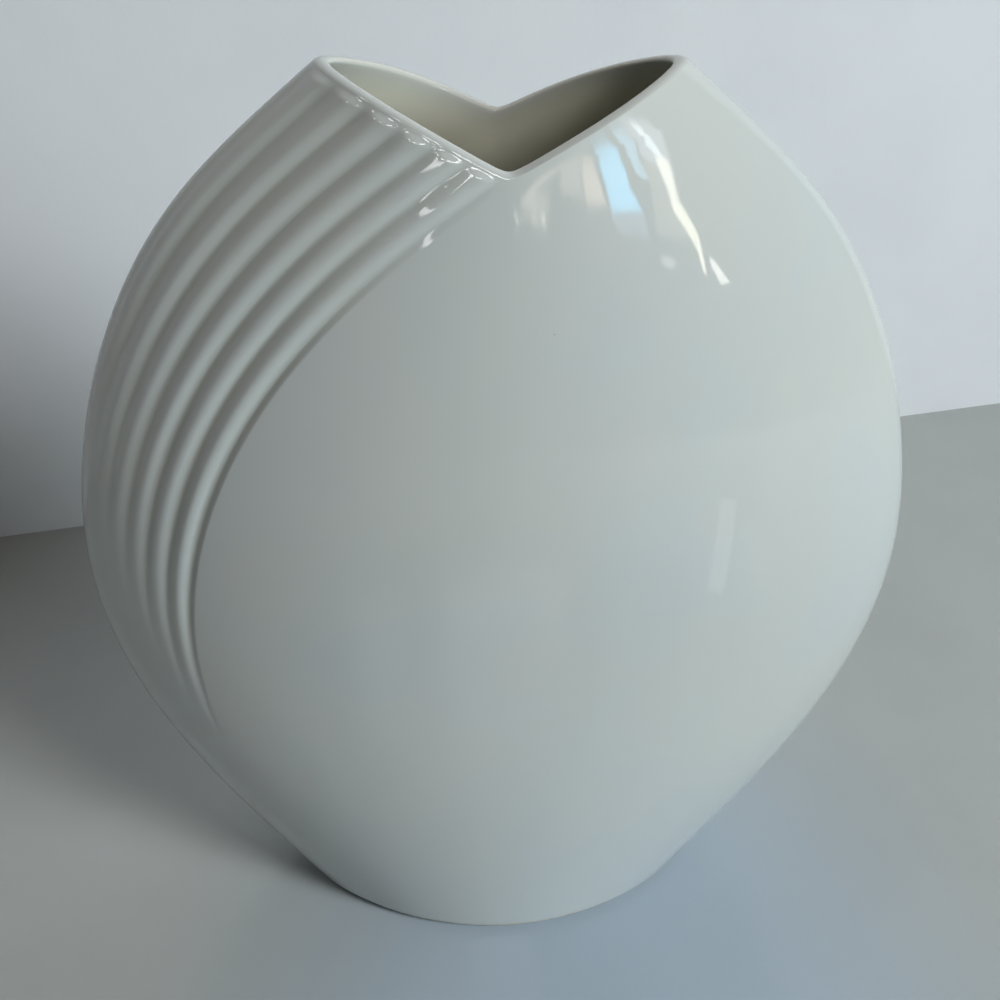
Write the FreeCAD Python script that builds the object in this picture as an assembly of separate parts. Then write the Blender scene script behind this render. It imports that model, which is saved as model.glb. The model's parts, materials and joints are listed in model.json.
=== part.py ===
import FreeCAD, Part
import math
import os

# Pillow vase: a one-piece slip-cast porcelain shell with a clear glaze over it.
# Units are millimetres. The vase stands on the plane z = 0, with its broad faces to -Y and +Y,
# its narrow sides to -X and +X, and its fluted quarter on the -X side of both broad faces.

Vector = FreeCAD.Vector

# Driving sizes of the whole vase
vase_height = 200.0
half_width = 91.5
half_depth = 37.6
wall_thickness = 4.0
rim_wall_thickness = 2.6
rim_taper_height = 12.0
glaze_thickness = 0.3

# Outline of the broad face, as (share of the height, share of the half width)
width_shares = (
    (0.00, 0.513),
    (0.10, 0.677),
    (0.25, 0.878),
    (0.42, 0.991),
    (0.60, 0.967),
    (0.75, 0.857),
    (0.88, 0.667),
    (1.00, 0.376),
)

# Outline of the narrow side, as (share of the height, share of the half depth)
depth_shares = (
    (0.00, 0.805),
    (0.20, 0.931),
    (0.42, 0.981),
    (0.60, 0.989),
    (0.80, 0.765),
    (1.00, 0.530),
)

# The plan section is an oval pinched towards its two ends, more so at the mouth
body_pinch_share = 0.15
mouth_pinch_share = 0.41
pinch_start_share = 0.40

# V-shaped mouth: two slightly arched edges that fall from the peaks to a rounded notch
notch_drop = 15.2
notch_rounding = 1.6
rim_arch_share = 0.18
lip_crown = 1.1

# Flutes: rounded ridges with grooves between them, from the narrow side to the notch
ridge_count = 6
ridge_rise = 0.55
groove_depth = 0.65
groove_softness_share = 0.30
last_wall_share = 0.30
ridge_tip_band = 0.2
ridge_tip_height = 1.7
side_margin_low = 5.5
side_margin_top = 1.5

# The inner edge of the fluted quarter, as (share of the height, distance round from the side)
flute_edge_at_foot = 21.5
flute_edge_low = 30.9
flute_edge_middle = 38.9
flute_edge_high = 47.0
flute_edge_shoulder = 55.6
flute_edge_at_peak = 65.9
flute_edge_height_shares = (0.00, 0.30, 0.55, 0.75, 0.87, 1.00)

# The flutes die away downwards: sooner at the narrow side than at their inner edge
fade_end_at_side = 119.0
fade_end_at_edge = 49.0
fade_length = 64.0

# The grooves run out under the rim, and those by the notch are shallower well below it
groove_end_height = 6.0
shallow_start = 15.0
shallow_length = 50.0
shallow_loss_share = 0.80

# Foot: a bare ring that the vase stands on, round a shallow recess
foot_edge_height = 2.2
foot_edge_width = 1.8
foot_ring_width = 5.5
recess_depth = 2.5
recess_draft = 0.8
floor_height = 7.5
floor_fillet = 8.0

# How finely the curved faces are laid out
columns_per_ridge = 6
margin_columns = 3
face_columns = 22
wall_rows = 20
inner_rows = 10
bow_rows = 3
arc_steps = 90
search_steps = 20
ring_points = 48
rim_row_drop = 9.0
rim_row_shares = (1.00, 0.72, 0.50, 0.33, 0.22, 0.155, 0.10, 0.05, 0.00)
inner_row_power_share = 1.6
level_tolerance = 0.02

# A bow whose pulls are this share of its corner is close to a quarter round
bow_reach_share = 0.55
bow_rise_share = 0.75


class SmoothLine:
    """A smooth curve through points, read as a value at a place."""

    def __init__(self, places, values):
        self.places = list(places)
        self.values = list(values)
        self.bends = self.solve_bends()

    def solve_bends(self):
        """Second slopes of the natural cubic through the points."""
        last = len(self.places) - 1
        gaps = [self.places[k + 1] - self.places[k] for k in range(last)]
        rises = [(self.values[k + 1] - self.values[k]) / gaps[k] for k in range(last)]
        carry = [0.0] * (last + 1)
        load = [0.0] * (last + 1)
        for k in range(1, last):
            pivot = 2.0 * (gaps[k - 1] + gaps[k]) - gaps[k - 1] * carry[k - 1]
            carry[k] = gaps[k] / pivot
            load[k] = (6.0 * (rises[k] - rises[k - 1]) - gaps[k - 1] * load[k - 1]) / pivot
        bends = [0.0] * (last + 1)
        for k in range(last - 1, 0, -1):
            bends[k] = load[k] - carry[k] * bends[k + 1]
        return bends

    def at(self, place):
        """Value at a place between the end points."""
        last = len(self.places) - 1
        k = 0
        while k < last - 1 and place > self.places[k + 1]:
            k += 1
        gap = self.places[k + 1] - self.places[k]
        near = (self.places[k + 1] - place) / gap
        far = 1.0 - near
        bow_near = (near ** 3 - near) * self.bends[k]
        bow_far = (far ** 3 - far) * self.bends[k + 1]
        bow = (bow_near + bow_far) * gap * gap / 6.0
        return near * self.values[k] + far * self.values[k + 1] + bow


def smooth_step(share):
    """Rise smoothly from 0 to 1 as the share goes from 0 to 1."""
    share = min(max(share, 0.0), 1.0)
    return share * share * (3.0 - 2.0 * share)


def outline(shares, size):
    """Smooth outline through pairs of a height share and a size share."""
    heights = [height_share * vase_height for height_share, size_share in shares]
    sizes = [size_share * size for height_share, size_share in shares]
    return SmoothLine(heights, sizes)


width_line = outline(width_shares, half_width)
depth_line = outline(depth_shares, half_depth)
flute_edge_line = SmoothLine(
    [share * vase_height for share in flute_edge_height_shares],
    [
        flute_edge_at_foot,
        flute_edge_low,
        flute_edge_middle,
        flute_edge_high,
        flute_edge_shoulder,
        flute_edge_at_peak,
    ],
)
peak_half_span = width_line.at(vase_height)


def section_sizes(height, inset):
    """Half width, half depth and pinch of the section at a height and an inset."""
    place = (height / vase_height - pinch_start_share) / (1.0 - pinch_start_share)
    pinch = body_pinch_share + (mouth_pinch_share - body_pinch_share) * smooth_step(place)
    return width_line.at(height) - inset, depth_line.at(height) - inset, pinch


def section_point(turn, height, inset):
    """Point of the front half section: turn 0 is the -X side, pi the +X side."""
    half_x, half_y, pinch = section_sizes(height, inset)
    cosine = math.cos(turn)
    return Vector(-half_x * cosine, -half_y * math.sin(turn) * (1.0 - pinch * cosine ** 2), height)


def section_arcs(height):
    """Distances round the front half section from the -X side, at even turns."""
    half_x, half_y, pinch = section_sizes(height, 0.0)
    arcs = [0.0]
    x = -half_x
    y = 0.0
    for k in range(1, arc_steps + 1):
        turn = math.pi * k / arc_steps
        cosine = math.cos(turn)
        next_x = -half_x * cosine
        next_y = -half_y * math.sin(turn) * (1.0 - pinch * cosine ** 2)
        arcs.append(arcs[-1] + math.hypot(next_x - x, next_y - y))
        x = next_x
        y = next_y
    return arcs


def turn_at(arcs, distance):
    """Turn at which the section has run the given distance from the -X side."""
    low = 0
    high = arc_steps
    while high - low > 1:
        middle = (low + high) // 2
        if arcs[middle] > distance:
            high = middle
        else:
            low = middle
    share = (distance - arcs[low]) / (arcs[low + 1] - arcs[low])
    return (low + share) * math.pi / arc_steps


def rim_height(x):
    """Height of the mouth's crest line above a place across the width."""
    flat = math.hypot(peak_half_span, notch_rounding) - notch_rounding
    climb = (math.hypot(x, notch_rounding) - notch_rounding) / flat
    climb = climb * (1.0 + rim_arch_share * (1.0 - climb))
    return vase_height - notch_drop * (1.0 - climb)


def inside_point(turn, height, inset):
    """Point of the inside, where the wall of the broad faces thins towards the rim."""
    point = section_point(turn, height, inset)
    below_rim = rim_height(point.x) - height
    thinning = wall_thickness - rim_wall_thickness
    thinning = thinning * smooth_step(1.0 - below_rim / rim_taper_height)
    half_y = section_sizes(height, inset)[1]
    return Vector(point.x, point.y * (1.0 + thinning / half_y), height)


def side_margin(height):
    """Plain strip between the -X side and the first groove, at a height."""
    share = height / vase_height
    return side_margin_low + (side_margin_top - side_margin_low) * share


class Column:
    """One upright line of the fluted front face, from the foot edge to the rim."""

    def __init__(self, phase, face_share):
        self.phase = phase
        self.face_share = face_share

    def distance(self, height, arcs):
        """Distance round from the -X side at a height."""
        margin = side_margin(height)
        edge = flute_edge_line.at(height)
        pitch = (edge - margin) / ridge_count
        if self.phase < 0.0:
            return margin * (1.0 + self.phase)
        last_wall = pitch * last_wall_share
        shoulder = edge + last_wall
        if self.face_share > 0.0:
            return shoulder + self.face_share * (arcs[-1] - shoulder)
        if self.phase > ridge_count:
            return edge + last_wall * 2.0 * (self.phase - ridge_count)
        return margin + pitch * self.phase

    def turn(self, height):
        """Turn of this column at a height."""
        arcs = section_arcs(height)
        return turn_at(arcs, self.distance(height, arcs))

    def swell(self):
        """0 in a groove's bottom and 1 on a ridge's top or past the last groove."""
        if self.phase > ridge_count:
            return smooth_step(2.0 * (self.phase - ridge_count))
        soft = groove_softness_share
        climb = math.hypot(math.sin(math.pi * self.phase), soft) - soft
        return climb / (math.hypot(1.0, soft) - soft)

    def groove_strength(self, below_rim):
        """How deep the grooves are as they run out under the rim, from 0 to 1."""
        across = min(self.phase / ridge_count, 1.0)
        shallow = 1.0 - smooth_step((below_rim - shallow_start) / shallow_length)
        run_out = smooth_step(below_rim / groove_end_height)
        return run_out * (1.0 - shallow_loss_share * across * shallow)

    def relief(self, height, below_rim):
        """Rise of the fluted face above the plain shape."""
        if self.face_share > 0.0 or self.phase < 0.0:
            return 0.0
        swell = self.swell()
        tip = smooth_step((below_rim - ridge_tip_band) / ridge_tip_height)
        ridge = ridge_rise * swell * tip
        if self.phase > ridge_count:
            ridge = 0.0
        groove = groove_depth * (1.0 - swell) * self.groove_strength(below_rim)
        across = min(self.phase / ridge_count, 1.0)
        fade_end = fade_end_at_side + (fade_end_at_edge - fade_end_at_side) * across
        low_fade = smooth_step((height - fade_end) / fade_length)
        return (ridge - groove) * smooth_step(2.0 * self.phase) * low_fade


def make_columns():
    """All columns of the front half, from the -X side to the +X side."""
    columns = [Column(k / margin_columns - 1.0, 0.0) for k in range(margin_columns)]
    flute_steps = ridge_count * columns_per_ridge + columns_per_ridge // 2
    columns += [Column(k / columns_per_ridge, 0.0) for k in range(flute_steps + 1)]
    for k in range(1, face_columns + 1):
        columns.append(Column(0.0, (1.0 - math.cos(math.pi * k / face_columns)) / 2.0))
    return columns


def edge_height(turn_of, inset, crown):
    """Height at which a column, followed at an inset, meets the rim less its crown."""
    low = vase_height - 2.0 * (notch_drop + lip_crown)
    high = vase_height
    for _ in range(search_steps):
        middle = (low + high) / 2.0
        x = section_point(turn_of(middle), middle, inset).x
        if rim_height(x) - crown > middle:
            low = middle
        else:
            high = middle
    return low


def bow(start, start_pull, end, end_pull, rows):
    """Points between two ends of a smooth bow that leaves and arrives along the pulls."""
    near = start + start_pull
    far = end + end_pull
    points = []
    for k in range(1, rows + 1):
        t = k / (rows + 1)
        s = 1.0 - t
        points.append(start * s ** 3 + near * (3.0 * s * s * t) + far * (3.0 * s * t * t) + end * t ** 3)
    return points


def outer_point(column, height, depth):
    """Point of the outside at a height, set in from the glaze surface by a depth."""
    turn = column.turn(height)
    point = section_point(turn, height, depth)
    small = math.pi / arc_steps
    ahead = section_point(turn + small, height, depth)
    behind = section_point(turn - small, height, depth)
    along = ahead - behind
    outward = Vector(along.y, -along.x, 0.0)
    outward.normalize()
    below_rim = rim_height(point.x) - lip_crown - height
    return point + outward * column.relief(height, below_rim)


def foot_rounding(column, depth):
    """Points from the foot ring's outer edge up to the foot of the wall."""
    turn = column.turn(foot_edge_height)
    wall_foot = section_point(turn, foot_edge_height, depth)
    ring_edge = section_point(turn, 0.0, depth + foot_edge_width)
    outwards = section_point(turn, 0.0, depth) - ring_edge
    fall = section_point(turn, 0.0, depth) - wall_foot
    outwards.normalize()
    fall.normalize()
    reach = foot_edge_height * bow_reach_share
    return [ring_edge] + bow(ring_edge, outwards * reach, wall_foot, fall * reach, bow_rows)


def wall_points(column, depth, top):
    """Points up the outside from the foot of the wall to the rim."""
    drops = [share * rim_row_drop for share in rim_row_shares]
    climb = top - drops[0] - foot_edge_height
    heights = [foot_edge_height + climb * k / wall_rows for k in range(wall_rows)]
    heights += [top - drop for drop in drops]
    return [outer_point(column, height, depth) for height in heights]


def inside_points(column, depth, top_turn, inner_top):
    """Points down the inside from the rim to the edge of the flat floor."""
    inset = wall_thickness - depth
    floor = floor_height - depth
    fillet_top = floor + floor_fillet
    floor_turn = column.turn(fillet_top)
    points = []
    for k in range(inner_rows + 1):
        share = (k / inner_rows) ** inner_row_power_share
        turn = top_turn + (floor_turn - top_turn) * smooth_step(share)
        points.append(inside_point(turn, inner_top + (fillet_top - inner_top) * share, inset))
    corner = section_point(floor_turn, floor, inset)
    floor_edge = section_point(floor_turn, floor, inset + floor_fillet)
    fall = corner - points[-1]
    outwards = corner - floor_edge
    fall.normalize()
    outwards.normalize()
    reach = floor_fillet * bow_reach_share
    points += bow(points[-1], fall * reach, floor_edge, outwards * reach, bow_rows)
    return points + [floor_edge]


def skin_column(column, depth):
    """Points up the outside, over the lip and down the inside, under a depth of glaze."""
    crown = lip_crown + depth
    top = edge_height(column.turn, depth, crown)
    top_turn = column.turn(top)
    inset = wall_thickness - depth
    inner_top = edge_height(lambda height: top_turn, inset, crown)
    inner_edge = inside_point(top_turn, inner_top, inset)
    outside = wall_points(column, depth, top)
    outer_pull = outside[-1] - outside[-2]
    inner_pull = inner_edge - inside_point(top_turn, inner_top - lip_crown, inset)
    outer_pull.normalize()
    inner_pull.normalize()
    reach = lip_crown / bow_rise_share
    lip = bow(outside[-1], outer_pull * reach, inner_edge, inner_pull * reach, bow_rows)
    return outside + lip + inside_points(column, depth, top_turn, inner_top)


def across(point):
    """The same point on the other broad face."""
    return Vector(point.x, -point.y, point.z)


def mean_places(lines, closed):
    """Running mean distance from line to line, as places for a smooth fit across them."""
    places = [0.0]
    following = lines[1:]
    if closed:
        following = following + lines[:1]
    for here, there in zip(lines, following):
        steps = [near.distanceToPoint(far) for near, far in zip(here, there)]
        places.append(places[-1] + sum(steps) / len(steps))
    return places


def smooth_surface(front_lines):
    """Smooth closed surface through the lines of the front half and their twins behind."""
    back_lines = [[across(point) for point in line] for line in front_lines[-2:0:-1]]
    lines = front_lines + back_lines
    around = mean_places(lines, True)
    along = mean_places(list(zip(*front_lines)), False)
    upright = Part.BSplineCurve()
    level = Part.BSplineCurve()
    columns = []
    for line in lines:
        upright.interpolate(Points=line, Parameters=along)
        columns.append(upright.getPoles())
    rows = []
    for row in zip(*columns):
        level.interpolate(Points=list(row), PeriodicFlag=True, Parameters=around)
        rows.append(level.getPoles())
    surface = Part.BSplineSurface()
    surface.buildFromPolesMultsKnots(
        list(zip(*rows)),
        level.getMultiplicities(),
        upright.getMultiplicities(),
        level.getKnots(),
        upright.getKnots(),
        True,
        False,
        level.Degree,
        upright.Degree,
    )
    return surface


def patches(surface, first_row, last_row):
    """Faces of a surface between two rows, parted where its character changes."""
    around = surface.getUKnots()
    along = surface.getVKnots()
    shoulder = margin_columns + ridge_count * columns_per_ridge + columns_per_ridge // 2
    lip_start = last_row - (2 * bow_rows + inner_rows + 2)
    lip_end = lip_start + bow_rows + 1
    side_cuts = [0, shoulder, len(around) - 1 - shoulder, len(around) - 1]
    row_cuts = [first_row, lip_start, lip_end, last_row]
    faces = []
    for left, right in zip(side_cuts, side_cuts[1:]):
        for low, high in zip(row_cuts, row_cuts[1:]):
            patch = surface.copy()
            patch.segment(around[left], around[right], along[low], along[high])
            faces.append(patch.toShape())
    return faces


def edge_loop(faces, height):
    """Closed run of the edges that lie flat at a height."""
    level = []
    for face in faces:
        for edge in face.Edges:
            box = edge.BoundBox
            if max(abs(box.ZMin - height), abs(box.ZMax - height)) < level_tolerance:
                level.append(edge)
    return Part.Wire(Part.sortEdges(level)[0])


def oval_wire(height, inset):
    """Closed oval at a height, set in from the outline of the foot."""
    front = [section_point(math.pi * k / ring_points, 0.0, inset) for k in range(ring_points + 1)]
    points = front + [across(point) for point in front[-2:0:-1]]
    points = [Vector(point.x, point.y, height) for point in points]
    curve = Part.BSplineCurve()
    curve.interpolate(points, True)
    return Part.Wire(curve.toShape())


def closed_solid(faces):
    """Solid inside a closed set of faces."""
    shell = Part.makeCompound(faces)
    shell.sewShape()
    solid = Part.Solid(shell.Shells[0])
    if solid.Volume < 0.0:
        solid.reverse()
    return solid


def make_body(columns):
    """Porcelain shell: wall, lip, inside, floor and foot ring."""
    depth = glaze_thickness
    lines = [foot_rounding(column, depth) + skin_column(column, depth) for column in columns]
    surface = smooth_surface(lines)
    skin = patches(surface, 0, len(lines[0]) - 1)
    floor = Part.Face(edge_loop(skin, floor_height - depth))
    ring_inset = depth + foot_edge_width + foot_ring_width
    ring_inner = oval_wire(0.0, ring_inset)
    recess_edge = oval_wire(recess_depth, ring_inset + recess_draft)
    ring = Part.Face([edge_loop(skin, 0.0), ring_inner])
    recess_wall = Part.makeLoft([ring_inner, recess_edge], False, True)
    recess_roof = Part.Face(recess_edge)
    body = closed_solid(skin + [floor, ring] + recess_wall.Faces + [recess_roof])
    return body, surface


def make_glaze(columns, body_surface):
    """Clear glaze over the whole vase but for its foot ring and recess."""
    lines = [skin_column(column, 0.0) for column in columns]
    last = len(lines[0]) - 1
    outer = patches(smooth_surface(lines), 0, last)
    under = patches(body_surface, bow_rows + 1, last + bow_rows + 1)
    band = Part.Face([edge_loop(outer, foot_edge_height), edge_loop(under, foot_edge_height)])
    floor = Part.Face(edge_loop(outer, floor_height))
    under_floor = Part.Face(edge_loop(under, floor_height - glaze_thickness))
    return closed_solid(outer + under + [band, floor, under_floor])


def main():
    """Build both pieces and write each to its own file."""
    os.makedirs("parts", exist_ok=True)
    columns = make_columns()
    body, body_surface = make_body(columns)
    glaze = make_glaze(columns, body_surface)
    body.exportStep("parts/porcelain_body.step")
    glaze.exportStep("parts/glaze_coat.step")


main()
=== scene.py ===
import json
import logging
import math
from collections.abc import Mapping, Sequence
from dataclasses import dataclass, field
from enum import Enum

import bmesh
import bpy
import numpy as np
from mathutils import Matrix, Vector

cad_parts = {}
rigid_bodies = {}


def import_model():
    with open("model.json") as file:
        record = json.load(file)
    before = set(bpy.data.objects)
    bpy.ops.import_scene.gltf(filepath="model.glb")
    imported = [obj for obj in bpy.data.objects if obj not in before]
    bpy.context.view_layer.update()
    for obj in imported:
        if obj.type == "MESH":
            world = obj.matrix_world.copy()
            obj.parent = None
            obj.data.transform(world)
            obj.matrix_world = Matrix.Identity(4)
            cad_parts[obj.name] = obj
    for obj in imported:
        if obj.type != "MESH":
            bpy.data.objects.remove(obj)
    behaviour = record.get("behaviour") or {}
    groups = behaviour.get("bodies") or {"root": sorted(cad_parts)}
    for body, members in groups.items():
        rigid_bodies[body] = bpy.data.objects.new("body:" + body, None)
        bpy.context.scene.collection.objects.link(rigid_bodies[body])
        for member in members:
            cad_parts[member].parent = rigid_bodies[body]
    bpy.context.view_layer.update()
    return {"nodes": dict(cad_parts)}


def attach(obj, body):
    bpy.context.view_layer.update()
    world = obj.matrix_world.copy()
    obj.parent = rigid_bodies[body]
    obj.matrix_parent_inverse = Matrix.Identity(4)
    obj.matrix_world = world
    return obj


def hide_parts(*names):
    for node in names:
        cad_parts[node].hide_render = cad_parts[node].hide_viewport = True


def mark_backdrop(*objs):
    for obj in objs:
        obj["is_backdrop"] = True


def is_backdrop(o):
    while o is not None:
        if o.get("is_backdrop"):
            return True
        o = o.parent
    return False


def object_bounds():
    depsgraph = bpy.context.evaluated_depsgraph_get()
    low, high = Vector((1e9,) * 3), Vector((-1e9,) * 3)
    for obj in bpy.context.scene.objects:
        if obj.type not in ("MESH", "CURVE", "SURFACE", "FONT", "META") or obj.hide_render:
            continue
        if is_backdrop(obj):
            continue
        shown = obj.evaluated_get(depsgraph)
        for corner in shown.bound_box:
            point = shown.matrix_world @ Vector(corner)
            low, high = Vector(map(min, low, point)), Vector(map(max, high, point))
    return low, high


# A pillow vase: a flattened round porcelain shell with a V-shaped mouth and a fan of curved
# flutes on its left quarter. Lengths are millimetres until the meshes are placed, in metres.

LOG = logging.getLogger("pillow_vase")
MM = 0.001

# Pulls of a bow: one with equal pulls rises this share of them, and one that turns a round
# corner has pulls of this share of its radius.
BOW_RISE_SHARE = 0.75
ROUND_PULL_SHARE = 0.55

# An edge that climbs less than this, in millimetres, lies level.
LEVEL_LIMIT = 0.1

# The lamps aim at this height and the glowing sheets stand on balls round it, in metres. A sheet
# on a smaller ball hides what it covers on a larger one.
AIM_HEIGHT = 0.1
NEAR_BALL = 1.03
MAIN_BALL = 1.05
FAR_BALL = 1.07
TABLE_BALL = 0.22

Colour = tuple[float, float, float]
Triple = tuple[float, float, float]
Span = tuple[float, float]
Pairs = tuple[Span, ...]

WHITE: Colour = (1.0, 1.0, 1.0)
CANDLE: Colour = (1.0, 0.97, 0.88)
BEIGE: Colour = (1.0, 0.86, 0.76)


def smooth_step(share: np.ndarray) -> np.ndarray:
    """Rise smoothly from 0 to 1 as the share goes from 0 to 1."""
    share = np.clip(share, 0.0, 1.0)
    return share * share * (3.0 - 2.0 * share)


def unit(vectors: np.ndarray) -> np.ndarray:
    """The same vectors, one a row, at length 1."""
    return vectors / np.linalg.norm(vectors, axis=-1, keepdims=True)


def toward(azimuth: float, elevation: float) -> Vector:
    """Direction from the vase to a viewer or a light.

    Args:
        azimuth: Degrees round from the front, which is -Y, to the right.
        elevation: Degrees above level.

    Returns:
        The direction, at length 1.
    """
    turn, rise = math.radians(azimuth), math.radians(elevation)
    return Vector(
        (math.sin(turn) * math.cos(rise), -math.cos(turn) * math.cos(rise), math.sin(rise))
    )


class SmoothLine:
    """A natural cubic through points, read as a value at a place."""

    def __init__(self, places: Sequence[float], values: Sequence[float]) -> None:
        """Fit the line.

        Args:
            places: The places of the points, from low to high.
            values: The value at each place.
        """
        self.places = np.array(places, dtype=float)
        self.values = np.array(values, dtype=float)
        count = len(self.places)
        gaps = np.diff(self.places)
        rises = np.diff(self.values) / gaps
        matrix = np.eye(count)
        load = np.zeros(count)
        for k in range(1, count - 1):
            matrix[k, k - 1 : k + 2] = gaps[k - 1], 2.0 * (gaps[k - 1] + gaps[k]), gaps[k]
            load[k] = 6.0 * (rises[k] - rises[k - 1])
        self.bends = np.linalg.solve(matrix, load)

    def at(self, place: np.ndarray) -> np.ndarray:
        """Read the line.

        Args:
            place: One place or many.

        Returns:
            The value at each place.
        """
        place = np.asarray(place, dtype=float)
        k = np.clip(np.searchsorted(self.places, place) - 1, 0, len(self.places) - 2)
        gap = self.places[k + 1] - self.places[k]
        near = (self.places[k + 1] - place) / gap
        far = 1.0 - near
        bend = (near**3 - near) * self.bends[k] + (far**3 - far) * self.bends[k + 1]
        return near * self.values[k] + far * self.values[k + 1] + bend * gap * gap / 6.0


@dataclass(frozen=True)
class VaseForm:
    """Outer sizes of the vase and the plain shape under its flutes, in millimetres."""

    height: float = 200.0
    half_width: float = 91.5
    half_depth: float = 37.6
    wall: float = 4.0
    rim_wall: float = 2.6
    rim_taper: float = 12.0
    glaze: float = 0.3
    width_shares: Pairs = (
        (0.00, 0.513), (0.10, 0.677), (0.25, 0.878), (0.42, 0.991),
        (0.60, 0.967), (0.75, 0.857), (0.88, 0.667), (1.00, 0.376),
    )
    depth_shares: Pairs = (
        (0.00, 0.805), (0.20, 0.931), (0.42, 0.981), (0.60, 0.989), (0.80, 0.765), (1.00, 0.530),
    )
    body_pinch: float = 0.15
    mouth_pinch: float = 0.41
    pinch_start: float = 0.40
    notch_drop: float = 15.2
    notch_rounding: float = 1.6
    rim_arch: float = 0.18
    lip_crown: float = 1.1
    foot_edge_height: float = 2.2
    floor_height: float = 7.5
    floor_fillet: float = 8.0
    arc_steps: int = 90
    width_line: SmoothLine = field(init=False, repr=False, compare=False)
    depth_line: SmoothLine = field(init=False, repr=False, compare=False)

    def __post_init__(self) -> None:
        """Fit the two outlines once."""
        for name, shares, size in (
            ("width_line", self.width_shares, self.half_width),
            ("depth_line", self.depth_shares, self.half_depth),
        ):
            places = [place * self.height for place, _ in shares]
            object.__setattr__(self, name, SmoothLine(places, [share * size for _, share in shares]))

    def section_sizes(self, height: np.ndarray, inset: float) -> tuple[np.ndarray, ...]:
        """Half width, half depth and pinch of the plan section.

        Args:
            height: Height of the section, one or many.
            inset: Distance inside the glaze's outer face.

        Returns:
            The three values at each height.
        """
        place = (height / self.height - self.pinch_start) / (1.0 - self.pinch_start)
        pinch = self.body_pinch + (self.mouth_pinch - self.body_pinch) * smooth_step(place)
        return self.width_line.at(height) - inset, self.depth_line.at(height) - inset, pinch

    def point(self, turn: np.ndarray, height: np.ndarray, inset: float) -> np.ndarray:
        """Points of the front half of the section.

        Args:
            turn: 0 at the -X side to pi at the +X side.
            height: Height of each point.
            inset: Distance inside the glaze's outer face.

        Returns:
            One point a row.
        """
        half_x, half_y, pinch = self.section_sizes(height, inset)
        cosine = np.cos(turn)
        y = -half_y * np.sin(turn) * (1.0 - pinch * cosine**2)
        return np.stack(np.broadcast_arrays(-half_x * cosine, y, height), axis=-1)

    def inside(self, turn: np.ndarray, height: np.ndarray) -> np.ndarray:
        """Points of the front half of the inside, where the broad faces thin towards the rim.

        Args:
            turn: 0 at the -X side to pi at the +X side.
            height: Height of each point.

        Returns:
            One point a row.
        """
        point = self.point(turn, height, self.wall)
        below_rim = self.rim_height(point[:, 0]) - height
        thinning = (self.wall - self.rim_wall) * smooth_step(1.0 - below_rim / self.rim_taper)
        half_y = self.section_sizes(height, self.wall)[1]
        point[:, 1] *= 1.0 + thinning / half_y
        return point

    def rim_height(self, x: np.ndarray) -> np.ndarray:
        """Height of the mouth's crest line above each place across the width."""
        peak = self.width_line.at(self.height)
        flat = math.hypot(peak, self.notch_rounding) - self.notch_rounding
        climb = (np.hypot(x, self.notch_rounding) - self.notch_rounding) / flat
        climb = climb * (1.0 + self.rim_arch * (1.0 - climb))
        return self.height - self.notch_drop * (1.0 - climb)


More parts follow.
